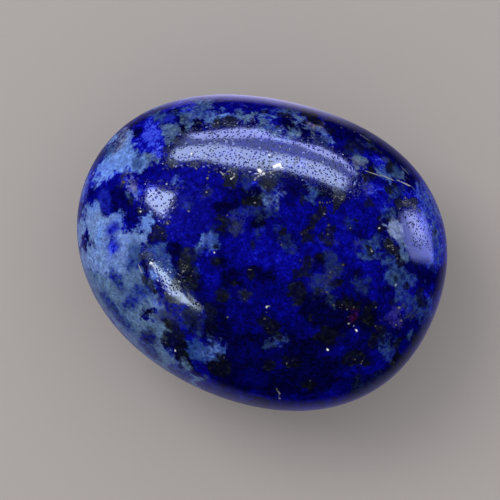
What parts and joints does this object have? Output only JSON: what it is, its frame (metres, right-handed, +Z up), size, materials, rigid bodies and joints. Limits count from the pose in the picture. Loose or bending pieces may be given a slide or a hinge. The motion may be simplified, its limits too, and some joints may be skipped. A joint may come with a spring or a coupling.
{
  "type": "tumbled lapis lazuli stone",
  "caption": "Polished egg-like tumbled stone of deep blue lapis lazuli with pale and dark patches and gold flecks, lying on a small worn flat.",
  "frame": {"origin": "on the surface that the stone rests on, under the middle of its box", "axes": "+Z up from the worn flat that it rests on, +X along its longest extent towards its blunter end, +Y across it"},
  "size_m": [0.0278, 0.0226, 0.0163],
  "materials": {
    "polished_lapis": "polished, glossy, deep ultramarine with pale blue and dark patches and gold flecks"
  },
  "bodies": {
    "root": {"tumbled_stone": "polished_lapis"}
  },
  "joints": []
}
